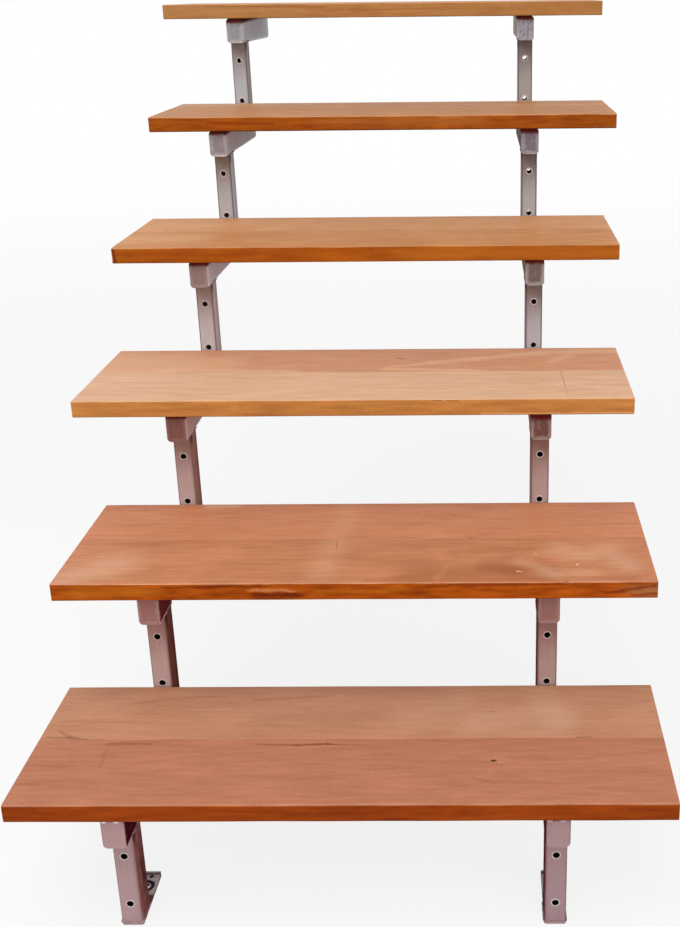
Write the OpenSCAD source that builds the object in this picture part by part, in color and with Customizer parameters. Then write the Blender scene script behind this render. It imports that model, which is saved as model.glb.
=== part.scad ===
// Open outdoor stair: timber treads on two stepped steel stringers.
// Each stringer stacks one welded module on the next: an upright post with a level arm on top.
// Units are millimetres. X runs across the flight, Y up the flight and Z upwards.
// The origin is under the left foot plate, where the first left post's axis meets the ground.

/* [Flight] */
// Height from one tread to the next
rise = 200; // [170:1:220]
// Distance from one tread's front edge to the next one's
going = 250; // [220:1:280]
// How much longer the first going is than the others
first_going_extra = 6; // [0:1:20]
// Distance between the centre lines of the left and right stringers
stringer_spacing = 600; // [400:10:800]

/* [Treads] */
// Length of a tread across the flight
tread_length = 900; // [860:10:1200]
// Thickness of the tread boards
board_thickness = 28; // [20:1:45]
// Width of a tread's front board. The back board takes the rest of the tread's depth.
front_board_width = 150; // [120:1:170]
// Radius of the eased long edges of a tread
board_ease = 2; // [1:0.5:4]
// How far a tread's front edge stands out before its arms, above the first step
nosing = 12; // [5:1:40]
// Clearance between a tread's back edge and the next posts
back_clearance = 2; // [1:1:10]

/* [Posts] */
// Width of a post across the flight
post_width = 31; // [26:1:34]
// Depth of a post along the flight
post_depth = 40; // [30:1:60]
// Radius of a post's upright corners
post_corner = 4; // [3:0.5:6]
// How far a post stands back from the front end of its arm
post_setback = 30; // [20:1:45]
// Diameter of the holes through a post from front to back
hole_diameter = 9; // [6:0.5:12]
// Height of the lower hole above the foot of its post
lower_hole_height = 33; // [25:1:45]
// Depth of the upper hole below the underside of the arm
upper_hole_depth = 36; // [20:1:45]

/* [Arms] */
// Width of an arm across the flight
arm_width = 34; // [34:1:45]
// Height of an arm
arm_height = 49; // [40:1:55]
// Radius of an arm's long corners and of the top and bottom edges of its closed ends
arm_corner = 7; // [4:0.5:9]
// Radius of the upright edges of an arm's closed ends
arm_end_corner = 4; // [3:0.5:6]
// Wall thickness of the posts and arms
wall = 2; // [1.5:0.5:2.5]

/* [Feet] */
// Length of a foot plate from the front of its post to its back end
foot_length = 100; // [90:1:140]
// Thickness of a foot plate
foot_thickness = 5; // [3:0.5:8]
// Height of the turned-up lip above the plate at its back end
lip_height = 4; // [3:0.5:12]
// Thickness of the lip
lip_thickness = 3; // [2:0.5:5]
// Diameter of the ground anchor hole
anchor_diameter = 11; // [8:0.5:14]
// Distance from the anchor hole's centre to the back end of the plate
anchor_setback = 27; // [20:1:35]

/* [Hidden] */
step_count = 6;
side_names = ["left", "right"];
// How much longer than the rest each tread was cut, from the bottom tread up
cut_extra = [8, 0, 14, -4, -8, 0];
// How far to the right of centre each tread was laid, from the bottom tread up
laid_off_centre = [10, 12, -6, 0, 18, 6];
// How far to the right of its stringer's line each left module stands, from the bottom one up
left_off_line = [0, 1, 1, 0, -1, -2];
// The same for the right modules
right_off_line = [3, 2, 1, 0, 0, 0];

post_height = rise - arm_height;
tread_depth = nosing + post_setback + going - back_clearance;
// Length that a cutter or a hole runs on past the faces it goes through
overrun = 5;
$fn = 48;

function off_line(side, step) = side == "left" ? left_off_line[step - 1] : right_off_line[step - 1];
// X of a module's axis
function module_x(side, step) = (side == "left" ? 0 : stringer_spacing) + off_line(side, step);
// Y of a step's post axis. Past the last step it gives where one more post would stand.
function post_y(step) = (step - 1) * going + (step > 1 ? first_going_extra : 0);
// Y of the front end of a step's arm
function arm_front(step) = post_y(step) - post_depth / 2 - post_setback;
// Length of a step's arm, which ends flush with the back of the next post
function arm_length(step) = post_y(step + 1) + post_depth / 2 - arm_front(step);
// Y of a tread's front edge: each tread lies close before the next post
function tread_front(step) = post_y(step + 1) - post_depth / 2 - back_clearance - tread_depth;
// Height of the face that a step's post stands on: the foot plate, or the arm below
function seat_z(step) = foot_thickness + (step - 1) * rise;

// Rectangle centred on the origin with round corners
module rounded_rectangle(width, height, corner) {
    square([width - 2 * corner, height], center = true);
    square([width, height - 2 * corner], center = true);
    for (sx = [-1, 1], sy = [-1, 1])
        translate([sx * (width / 2 - corner), sy * (height / 2 - corner)])
            circle(corner);
}

// Bar along Y from the XZ plane, with the long corners rounded
module bar_along_y(width, height, length, corner)
    translate([0, length, 0])
        rotate([90, 0, 0])
            linear_extrude(length)
                rounded_rectangle(width, height, corner);

// Arm's outer form, from its front end at the origin, with its top face at z = 0
module arm_form(length)
    translate([0, 0, -arm_height / 2])
        intersection() {
            bar_along_y(arm_width, arm_height, length, arm_corner);
            // Side view: round top and bottom edges at both ends
            translate([-arm_width / 2 - overrun, length / 2, 0])
                rotate([90, 0, 90])
                    linear_extrude(arm_width + 2 * overrun)
                        rounded_rectangle(length, arm_height, arm_corner);
            // Plan view: round upright edges at both ends
            translate([0, length / 2, -arm_height / 2 - overrun])
                linear_extrude(arm_height + 2 * overrun)
                    rounded_rectangle(arm_width, length, arm_end_corner);
        }

// Hollow arm, closed at both ends
module arm(length) {
    color([0.66, 0.62, 0.62])
        difference() {
            arm_form(length);
            translate([0, wall, -arm_height / 2])
                bar_along_y(arm_width - 2 * wall, arm_height - 2 * wall, length - 2 * wall,
                    arm_corner - wall);
        }
}

// Post of square-cut or coped tube. It stands on z = 0 with its axis on the origin.
// The top end is coped to the round underside of its arm, and so is the foot on an arm.
// The arm below stands arm_offset to the right of the post.
module post(foot_on_arm, arm_offset) {
    below = foot_on_arm ? arm_corner : 0;
    color([0.68, 0.64, 0.64])
        difference() {
            translate([0, 0, -below])
                linear_extrude(below + post_height + arm_corner)
                    difference() {
                        rounded_rectangle(post_width, post_depth, post_corner);
                        rounded_rectangle(post_width - 2 * wall, post_depth - 2 * wall,
                            post_corner - wall);
                    }
            translate([0, -post_depth, rise - arm_height / 2])
                bar_along_y(arm_width, arm_height, 2 * post_depth, arm_corner);
            if (foot_on_arm)
                translate([arm_offset, -post_depth, -arm_height / 2])
                    bar_along_y(arm_width, arm_height, 2 * post_depth, arm_corner);
            for (z = [lower_hole_height, post_height - upper_hole_depth])
                translate([0, post_depth / 2 + overrun, z])
                    rotate([90, 0, 0])
                        cylinder(h = post_depth + 2 * overrun, d = hole_diameter);
        }
}

// Foot plate under the first post, with a lip turned up at its back end
module foot_plate() {
    back = foot_length - post_depth / 2;
    color([0.62, 0.58, 0.58])
        difference() {
            union() {
                translate([0, back - foot_length / 2, 0])
                    linear_extrude(foot_thickness)
                        rounded_rectangle(post_width, foot_length, post_corner);
                translate([-post_width / 2, back - lip_thickness, 0])
                    cube([post_width, lip_thickness, foot_thickness + lip_height]);
            }
            translate([0, back - anchor_setback, -overrun])
                cylinder(h = foot_thickness + 2 * overrun, d = anchor_diameter);
        }
}

// One tread board: row 0 is the front board and row 1 the back board.
// The two are glued edge to edge, and the outer long edges are eased.
module board(step, row) {
    length = tread_length + cut_extra[step - 1];
    left_end = stringer_spacing / 2 + laid_off_centre[step - 1] - length / 2;
    board_front = row == 0 ? 0 : front_board_width;
    board_width = row == 0 ? front_board_width : tread_depth - front_board_width;
    color(row == 0 ? [0.80, 0.52, 0.36] : [0.75, 0.49, 0.35])
        translate([left_end, tread_front(step) + tread_depth / 2, seat_z(step + 1) + board_thickness / 2])
            rotate([90, 0, 90])
                linear_extrude(length)
                    intersection() {
                        rounded_rectangle(tread_depth, board_thickness, board_ease);
                        translate([board_front - tread_depth / 2, -board_thickness / 2])
                            square([board_width, board_thickness]);
                    }
}

for (side = side_names) {
    translate([module_x(side, 1), 0, 0]) foot_plate();
    for (step = [1 : step_count]) {
        arm_offset = step > 1 ? off_line(side, step - 1) - off_line(side, step) : 0;
        translate([module_x(side, step), post_y(step), seat_z(step)]) post(step > 1, arm_offset);
        translate([module_x(side, step), arm_front(step), seat_z(step + 1)]) arm(arm_length(step));
    }
}
for (step = [1 : step_count]) {
    board(step, 0);
    board(step, 1);
}
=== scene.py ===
# Outdoor stair: six timber treads on two stepped steel stringers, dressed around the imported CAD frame.
# Places and sizes come from the frame. Lengths here are metres unless a name or comment says millimetres.
from collections import namedtuple
import math

import bmesh
import bpy
from mathutils import Matrix, Vector, noise


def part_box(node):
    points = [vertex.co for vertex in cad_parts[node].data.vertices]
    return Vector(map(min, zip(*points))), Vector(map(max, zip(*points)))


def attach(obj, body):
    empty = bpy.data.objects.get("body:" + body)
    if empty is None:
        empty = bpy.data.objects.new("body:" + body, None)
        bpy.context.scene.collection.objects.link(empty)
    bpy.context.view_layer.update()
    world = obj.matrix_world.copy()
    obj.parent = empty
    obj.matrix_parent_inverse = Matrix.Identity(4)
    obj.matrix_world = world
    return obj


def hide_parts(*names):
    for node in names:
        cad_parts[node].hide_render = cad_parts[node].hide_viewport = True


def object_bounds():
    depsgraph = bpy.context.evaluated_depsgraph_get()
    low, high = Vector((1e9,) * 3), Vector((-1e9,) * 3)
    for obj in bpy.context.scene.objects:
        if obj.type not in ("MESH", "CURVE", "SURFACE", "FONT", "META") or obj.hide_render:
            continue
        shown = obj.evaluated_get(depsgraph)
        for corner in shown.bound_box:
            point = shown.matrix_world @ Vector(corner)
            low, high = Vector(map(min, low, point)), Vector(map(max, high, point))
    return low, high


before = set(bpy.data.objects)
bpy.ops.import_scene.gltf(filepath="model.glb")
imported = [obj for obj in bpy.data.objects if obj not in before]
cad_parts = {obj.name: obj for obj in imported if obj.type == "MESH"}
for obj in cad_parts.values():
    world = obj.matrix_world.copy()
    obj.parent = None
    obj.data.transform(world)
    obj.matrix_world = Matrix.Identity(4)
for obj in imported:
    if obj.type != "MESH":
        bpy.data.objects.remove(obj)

MM = 0.001
STEPS = range(1, 7)
ROWS = ("front", "back")
BODY = "root"

cad_box = [list(corner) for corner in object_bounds()]

# Levels and sizes of the steelwork, read from the frame
FIRST_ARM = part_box("left_arm_1")
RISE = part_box("left_arm_2")[1].z - FIRST_ARM[1].z
SEAT = FIRST_ARM[1].z - RISE
ARM_HEIGHT = FIRST_ARM[1].z - FIRST_ARM[0].z
ARM_WIDTH = FIRST_ARM[1].x - FIRST_ARM[0].x
POST_HEIGHT = RISE - ARM_HEIGHT
ARM_CORNER = 7 * MM
ARM_END_CORNER = 4 * MM
POST_CORNER = 4 * MM
HOLE_RADIUS = 4.5 * MM
HOLE_HEIGHTS = (33 * MM, POST_HEIGHT - 36 * MM)


def seat(step):
    """Height of the face that a step's post stands on."""
    return SEAT + (step - 1) * RISE


# -------- shader graphs

def colour(code):
    """Linear RGBA of a six-digit sRGB code."""
    channels = [int(code[i:i + 2], 16) / 255 for i in (0, 2, 4)]
    linear = [c / 12.92 if c <= 0.04045 else ((c + 0.055) / 1.055) ** 2.4 for c in channels]
    return (*linear, 1.0)


class Graph:
    """Shader nodes of one tree. Any value may be a number, a colour, a vector or another node's output."""

    def __init__(self, owner):
        owner.use_nodes = True
        self.tree = owner.node_tree
        self.tree.nodes.clear()

    def node(self, kind, inputs=None, output=0, **settings):
        made = self.tree.nodes.new(kind)
        for name, value in settings.items():
            setattr(made, name, value)
        for key, value in (inputs or {}).items():
            if isinstance(value, bpy.types.NodeSocket):
                self.tree.links.new(value, made.inputs[key])
            else:
                made.inputs[key].default_value = value
        return made.outputs[output] if made.outputs else made

    def math(self, operation, *values, clamp=False):
        return self.node("ShaderNodeMath", dict(enumerate(values)), operation=operation, use_clamp=clamp)

    def times(self, a, b):
        """Product of two values."""
        return self.math("MULTIPLY", a, b)

    def absolute(self, value):
        return self.math("ABSOLUTE", value)

    def larger(self, a, b):
        return self.math("MAXIMUM", a, b)

    def vector(self, operation, *values, output=0):
        return self.node("ShaderNodeVectorMath", dict(enumerate(values)), output, operation=operation)

    def combine(self, x, y, z=0.0):
        return self.node("ShaderNodeCombineXYZ", {0: x, 1: y, 2: z})

    def distance(self, x, y):
        """Length of (x, y)."""
        return self.vector("LENGTH", self.combine(x, y), output=1)

    def fit(self, value, low, high, start=0.0, end=1.0):
        """start up to low, end from high on, and a smooth step between."""
        inputs = {"Value": value, "From Min": low, "From Max": high, "To Min": start, "To Max": end}
        return self.node("ShaderNodeMapRange", inputs, interpolation_type="SMOOTHSTEP")

    def mix(self, factor, a, b):
        return self.node("ShaderNodeMix", {0: factor, 6: a, 7: b}, 2, data_type="RGBA")

    def shade(self, base, level):
        """base times a grey level."""
        return self.vector("MULTIPLY", base, self.combine(level, level, level))

    def noise(self, place, cell, detail=2.0, roughness=0.5, seed=0.0):
        """Noise from 0 to 1 with cells of that size, (x, y, z) in the units of place."""
        scale = tuple(1 / c for c in cell)
        scaled = self.vector("MULTIPLY_ADD", place, scale, (seed, seed * 0.37, seed * 0.71))
        inputs = {"Vector": scaled, "Scale": 1.0, "Detail": detail, "Roughness": roughness}
        return self.node("ShaderNodeTexNoise", inputs)

    def sway(self, place, cell, amount, detail=2.0, seed=0.0):
        """Noise from about minus half to plus half of amount."""
        return self.math("MULTIPLY_ADD", self.noise(place, cell, detail, 0.55, seed), amount, -0.5 * amount)

    def total(self, *values):
        """Sum of the values."""
        result = values[0]
        for value in values[1:]:
            result = self.math("ADD", result, value)
        return result

    def xyz(self, vector):
        made = self.tree.nodes.new("ShaderNodeSeparateXYZ")
        self.tree.links.new(vector, made.inputs[0])
        return made.outputs

    def millimetres(self, origin=(0.0, 0.0, 0.0)):
        """The surface point's place from origin, in millimetres."""
        place = self.node("ShaderNodeTexCoord", output=3)
        offset = tuple(-1000 * c for c in origin)
        return self.vector("MULTIPLY_ADD", place, (1000, 1000, 1000), offset)

    def normal(self):
        return self.xyz(self.node("ShaderNodeNewGeometry", output=1))

    def bump(self, height, distance, strength=1.0):
        return self.node("ShaderNodeBump", {"Height": height, "Distance": distance, "Strength": strength})

    def surface(self, **inputs):
        """Principled surface into the material output. Underscores in the names stand for spaces."""
        named = {key.replace("_", " "): value for key, value in inputs.items()}
        shader = self.node("ShaderNodeBsdfPrincipled", named)
        self.node("ShaderNodeOutputMaterial", {"Surface": shader})


def new_material(name):
    material = bpy.data.materials.new(name)
    return material, Graph(material)


# -------- timber

# A knot, crack, stain or paler patch on a tread's top or front face: a capsule from start to end.
# Places are millimetres from the tread's left front top corner, as (along, back) on top and (along, up)
# on the front. widths are its half widths at start and end, strength is how much it covers, ragged is
# how far its outline wavers, in millimetres, and softness goes from 0 for a sharp outline to 1.
Mark = namedtuple("Mark", "start end widths tone strength ragged softness", defaults=(1.0,))

# How one board looks: sRGB tones of its top and front, amounts of cloud, streak, front figure and rings,
# the pith's place in the end view, the ring spacing and how far the pith wanders, in millimetres,
# and the marks on its top and on its front. The top tone is paler with a painted sheen and the front tone
# darker with painted shade.
Timber = namedtuple("Timber", "top edge cloud streak swirl figure pith ring wander top_marks front_marks",
                    defaults=((), ()))

# Tones that recur in the marks, as sRGB codes
KNOT = "2A0E08"
CRACK = "6B3018"
BROWN = "8A4A26"
EMBER = "6E2406"
SAP = "E0B088"
DUST = "E2BA9A"
GLUE = "DDA078"
SIENNA = "8A3604"
UMBER = "96582A"
COPPER = "A86038"
TAWNY = "A86C40"
OCHRE = "AC7A40"
HONEY = "B07A38"
AMBER = "C8741C"
CURL = "D09A6E"
LINEN = "D2A680"
SAND = "DCA878"

# The pale joint of the bottom tread's boards
GLUE_LINE = Mark((95, 150), (901, 150), (0.9, 0.9), GLUE, 0.32, 0, 0.9)

BOARDS = {
    (1, "front"): Timber("B97859", "963C05", 0.6, 1.0, 0.8, 0.25, (60, -150), 11, 26, (
        Mark((659, 96), (663, 96), (2.4, 2), KNOT, 0.95, 0, 0.5),
        Mark((668, 92), (676, 91), (2, 1), DUST, 0.35, 0, 0.8),
        Mark((318, 137), (378, 134), (1.2, 2.2), CRACK, 0.55, 4),
        Mark((378, 134), (425, 137), (2.4, 1.8), CRACK, 0.75, 4),
        Mark((420, 137), (436, 135), (1.6, 1.6), KNOT, 0.6, 3, 0.9),
        Mark((436, 136), (478, 134), (1.6, 1), CRACK, 0.5, 4),
        Mark((110, 139), (166, 138), (3.6, 2.4), BROWN, 0.5, 5),
        Mark((106, 134), (108, 86), (2.6, 3), BROWN, 0.26, 2),
        Mark((0, 90), (50, 87), (3.4, 4), BROWN, 0.28, 5),
        Mark((12, 47), (66, 42), (3, 3), BROWN, 0.28, 5),
        Mark((632, 57), (665, 45), (4, 2.4), BROWN, 0.25, 5),
        Mark((330, 60), (520, 52), (7, 5), BROWN, 0.14, 10),
        Mark((690, 104), (800, 100), (6, 4), BROWN, 0.18, 8),
        GLUE_LINE)),
    (1, "back"): Timber("C08665", "963C05", 0.6, 0.7, 0.8, 0.3, (110, -70), 9, 34, (
        Mark((660, 216), (662, 216), (2.2, 1.6), CRACK, 0.6, 0, 0.9),
        Mark((11, 155), (30, 154), (2, 2.6), BROWN, 0.55, 3),
        Mark((24, 170), (44, 155), (2.4, 4.4), BROWN, 0.45, 4),
        Mark((44, 154), (69, 150), (3.4, 1.8), CRACK, 0.45, 4),
        Mark((30, 196), (150, 190), (4, 3), BROWN, 0.16, 8),
        Mark((121, 246), (241, 262), (4.5, 4), BROWN, 0.26, 7),
        Mark((300, 250), (410, 262), (4, 3), BROWN, 0.2, 7),
        Mark((782, 150.5), (803, 150.5), (1.6, 1.6), CRACK, 0.75, 0, 0.8),
        Mark((640, 188), (748, 196), (44, 44), DUST, 0.2, 40),
        Mark((735, 262), (758, 190), (34, 34), DUST, 0.17, 14),
        Mark((540, 200), (600, 240), (40, 30), DUST, 0.14, 34),
        GLUE_LINE)),
    (2, "front"): Timber("C17C56", "AA4C0A", 1.15, 0.8, 1.9, 0.25, (75, -60), 10, 30, (
        Mark((20, 22), (84, 66), (40, 44), DUST, 0.34, 40),
        Mark((410, 150), (396, 0), (26, 30), DUST, 0.17, 16),
        Mark((756, 112), (800, 84), (26, 24), DUST, 0.28, 26),
        Mark((830, 104), (862, 50), (28, 24), DUST, 0.26, 26),
        Mark((730, 30), (800, 26), (22, 20), DUST, 0.22, 20),
        Mark((540, 26), (726, 32), (34, 38), "9E5830", 0.55, 22),
        Mark((644, 50), (690, 36), (20, 18), "8E4A26", 0.5, 18),
        Mark((470, 8), (560, 12), (10, 12), "A05A34", 0.4, 12),
        Mark((572, 12), (586, 46), (7, 6), CURL, 0.2, 24),
        Mark((590, 56), (622, 62), (6, 6), CURL, 0.2, 14),
        Mark((700, 66), (750, 22), (16, 14), DUST, 0.22, 26),
        Mark((740, 116), (600, 98), (8, 8), COPPER, 0.3, 16),
        Mark((700, 10), (860, 12), (8, 8), COPPER, 0.4, 12),
        Mark((694, 35), (700, 34), (3, 1.5), DUST, 0.7, 2, 0.9),
        Mark((784, 54), (786, 60), (1.6, 1.2), "F2D2B6", 0.7, 1, 0.8),
        Mark((722, 94), (726, 92), (2.5, 1.5), DUST, 0.6, 1, 0.9),
        Mark((409, 150), (413, 112), (0.8, 0.8), CRACK, 0.45, 0, 0.9),
        Mark((764, 4), (770, -2), (2, 1.2), KNOT, 0.6, 1, 0.8)), (
        Mark((40, -14), (150, -14), (10, 8), AMBER, 0.5, 6),
        Mark((310, -20), (372, -20), (5.5, 4), EMBER, 0.95, 9),
        Mark((300, -11), (360, -13), (3, 2.5), "DE9C6A", 0.5, 7),
        Mark((175, -6), (310, -5), (3, 2), EMBER, 0.6, 5),
        Mark((400, -14), (520, -12), (4, 5), AMBER, 0.4, 7),
        Mark((560, -5), (780, -4), (2, 1.5), EMBER, 0.5, 4),
        Mark((876, -14), (905, -16), (10, 13), "AE7448", 0.7, 8),
        Mark((826, -19), (900, -6), (2.4, 2.4), EMBER, 0.7, 5),
        Mark((864, -23), (902, -19), (2, 2.4), EMBER, 0.6, 4))),
    (2, "back"): Timber("C9815B", "AA4C0A", 0.6, 0.7, 1.9, 0.3, (95, -120), 9, 28, (
        Mark((427, 158), (546, 154), (1, 0.7), CRACK, 0.55, 3, 0.9),
        Mark((621, 151.5), (627, 151.5), (2, 1.2), KNOT, 0.65, 0, 0.7),
        Mark((420, 290), (410, 150), (22, 26), DUST, 0.13, 14),
        Mark((180, 280), (225, 284), (12, 10), DUST, 0.4, 4))),
    (3, "front"): Timber("D8AA86", "C37E3F", 0.3, 0.8, 0.3, 0.3, (40, -180), 12, 20, (
        Mark((804, 146), (806, 60), (0.9, 0.9), CRACK, 0.55, 0, 0.9),
        Mark((806, 44), (807, 6), (0.9, 0.7), CRACK, 0.35, 0, 0.9),
        Mark((840, 74), (918, 70), (2, 1.2), "B07850", 0.5, 3)), (
        Mark((590, -2), (626, -3), (1, 1), EMBER, 0.5, 1),
        Mark((667, -25), (912, -25), (1, 1.2), "EDB47C", 0.7, 0.5))),
    (3, "back"): Timber("CE8F69", "C37E3F", 0.5, 0.6, 0.5, 0.35, (80, -40), 12, 60, (
        Mark((-10, 225), (200, 205), (70, 50), SAP, 0.55, 24),
        Mark((0, 160), (120, 158), (26, 20), SAP, 0.6, 10),
        Mark((120, 168), (350, 152), (26, 8), SAP, 0.6, 10),
        Mark((510, 166), (640, 156), (8, 9), SAP, 0.75, 7),
        Mark((500, 176), (578, 202), (6, 9), SAP, 0.6, 6),
        Mark((578, 202), (767, 256), (9, 15), SAP, 0.65, 8),
        Mark((767, 258), (905, 272), (15, 20), SAP, 0.55, 10),
        Mark((790, 200), (828, 244), (10, 15), SAP, 0.35, 12),
        Mark((630, 176), (634, 176), (3, 2), BROWN, 0.6, 1, 0.9),
        Mark((515, 229), (532, 227), (2.6, 1.4), CRACK, 0.8, 2, 0.8))),
    (4, "front"): Timber("C0814E", "A4500E", 0.7, 0.7, 0.6, 0.3, (75, -80), 9, 30, (
        Mark((400, 75), (600, 75), (110, 110), HONEY, 0.16, 20),
        Mark((-10, 70), (130, 90), (50, 40), SAND, 0.42, 20),
        Mark((541, 24), (549, 23), (3, 2), CRACK, 0.5, 2),
        Mark((560, 17), (565, 16), (2.5, 1.5), CRACK, 0.4, 2),
        Mark((519, 110), (522, 110), (1.6, 1.2), CRACK, 0.5, 0, 0.9),
        Mark((250, 110), (335, 107), (9, 6), TAWNY, 0.35, 8),
        Mark((600, 122), (745, 116), (12, 8), TAWNY, 0.4, 8)), (
        Mark((2.5, -4), (5.5, -27), (3.2, 2.4), "4A1404", 0.8, 3, 0.9),
        Mark((0.5, -8), (1.0, -22), (1.6, 1.6), "C98A60", 0.6, 1, 0.9),
        Mark((30, -12), (240, -12), (5, 8), "8E3A10", 0.35, 6),
        Mark((520, -14), (900, -14), (13, 15), "BE7026", 0.42, 8))),
    (4, "back"): Timber("CD8F5E", "A4500E", 0.7, 0.6, 0.6, 0.3, (90, -60), 9, 30, (
        Mark((400, 220), (600, 220), (110, 110), HONEY, 0.16, 20),
        Mark((477, 152), (497, 151.5), (4, 2.5), CRACK, 0.5, 2),
        Mark((-10, 215), (170, 225), (50, 40), SAND, 0.3, 20))),
    (5, "front"): Timber("B87F52", "98490B", 0.6, 0.8, 1.2, 0.3, (60, -90), 9, 30, (
        Mark((440, 75), (900, 75), (120, 120), OCHRE, 0.2, 20),), (
        Mark((330, -13), (620, -11), (8, 9), "B26A30", 0.5, 7),
        Mark((118, -12), (236, -14), (3.5, 2.5), SIENNA, 0.7, 3),
        Mark((280, -16), (450, -18), (3, 3), SIENNA, 0.5, 3),
        Mark((705, -5), (745, -4), (4, 6), SIENNA, 0.75, 3),
        Mark((560, -4), (600, -5), (3, 2), "C07840", 0.5, 2),
        Mark((830, -5), (900, -7), (3, 3), SIENNA, 0.5, 3))),
    (5, "back"): Timber("BC8357", "98490B", 0.6, 0.6, 1.2, 0.3, (90, -110), 9, 30, (
        Mark((440, 220), (900, 220), (120, 120), OCHRE, 0.2, 20),
        Mark((-10, 240), (190, 262), (40, 30), LINEN, 0.5, 24),
        Mark((230, 270), (900, 276), (16, 14), "C89668", 0.4, 14),
        Mark((700, 186), (880, 196), (20, 26), LINEN, 0.3, 18))),
    (6, "front"): Timber("C48C64", "AD7541", 0.5, 0.6, 0.3, 0.3, (70, -160), 12, 24, (), (
        Mark((0, -12), (260, -14), (13, 12), "BC8858", 0.4, 6),
        Mark((90, -4), (330, -7), (1.5, 2.5), UMBER, 0.5, 2),
        Mark((390, -14), (560, -12), (3, 2), UMBER, 0.35, 3),
        Mark((640, -15), (900, -13), (13, 14), "A06A3A", 0.4, 6))),
    (6, "back"): Timber("C48C64", "AD7541", 0.6, 0.6, 0.6, 0.4, (70, -90), 10, 30),
}
# Marks that start out wider than this, in millimetres, get the coarse wobble
BROAD_MARK = 8
# Distances along the grain count less in soft marks that follow it, so that their ends taper off
GRAIN_TAPER = 0.35
# How pale a tread's front top edge is, from wear and a painted highlight, by step, and on the rest
ARRIS_WEAR_AND_HIGHLIGHT = {2: 0.5, 5: 0.3}
PLAIN_ARRIS_WEAR_AND_HIGHLIGHT = 0.12


def mark_mask(graph, place, normal, plane, mark, wobble):
    """1 inside the mark on that plane and 0 outside it. wobble makes its outline ragged."""
    x, y, z = graph.xyz(place)
    across = y if plane == "top" else z
    facing = normal[2] if plane == "top" else graph.times(normal[1], -1.0)
    if mark.ragged:
        across = graph.math("MULTIPLY_ADD", wobble, mark.ragged, across)
    follows_grain = abs(mark.end[0] - mark.start[0]) > 3 * abs(mark.end[1] - mark.start[1])
    slim = plane == "front" or mark.widths[0] <= BROAD_MARK
    taper = GRAIN_TAPER if follows_grain and slim and mark.softness == 1.0 else 1.0
    start = Vector((mark.start[0] * taper, mark.start[1], 0.0))
    span = Vector((mark.end[0] * taper, mark.end[1], 0.0)) - start
    from_start = graph.vector("SUBTRACT", graph.combine(graph.times(x, taper), across), start)
    along = graph.vector("DOT_PRODUCT", from_start, span / max(span.length_squared, 1e-6), output=1)
    along = graph.math("ADD", along, 0.0, clamp=True)
    nearest = graph.vector("MULTIPLY", graph.combine(along, along, along), span)
    away = graph.vector("LENGTH", graph.vector("SUBTRACT", from_start, nearest), output=1)
    width = graph.math("MULTIPLY_ADD", along, mark.widths[1] - mark.widths[0], mark.widths[0])
    share = graph.math("DIVIDE", away, width)
    inside = graph.fit(share, 1.0 - mark.softness, 1.0 + 0.5 * mark.softness, 1.0, 0.0)
    return graph.times(inside, graph.fit(facing, 0.3, 0.7, 0.0, mark.strength))


def growth_rings(graph, place, board, seed):
    """1 in the dark late wood of each ring, 0 in the early wood."""
    _, y, z = graph.xyz(place)
    y = graph.total(y, -board.pith[0], graph.sway(place, (420, 150, 150), 2.0 * board.wander, seed=seed))
    z = graph.total(z, -board.pith[1], graph.sway(place, (300, 120, 120), 1.6 * board.wander, seed=seed + 5.3))
    radius = graph.total(graph.distance(y, z), graph.sway(place, (70, 9, 9), 1.3 * board.ring, 4.0, seed + 1.7))
    turns = graph.math("DIVIDE", radius, board.ring)
    share = graph.math("FRACT", turns)
    late = graph.times(graph.fit(share, 0.15, 0.85), graph.fit(share, 0.88, 1.0, 1.0, 0.0))
    strength = graph.fit(graph.noise(graph.combine(turns, seed), (1.7, 1, 1), 1.0), 0.3, 0.7, 0.2, 1.0)
    return graph.times(late, strength)


def tinted(graph, code, tone, dark, pale):
    """The code's colour, darker and redder at tone 0, paler and yellower at tone 1."""
    base = Vector(colour(code)[:3])
    darker = (base.x * dark, base.y * dark ** 1.3, base.z * dark ** 1.5, 1.0)
    paler = (base.x * pale, base.y * pale ** 1.3, base.z * pale ** 1.5, 1.0)
    return graph.mix(tone, darker, paler)


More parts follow.
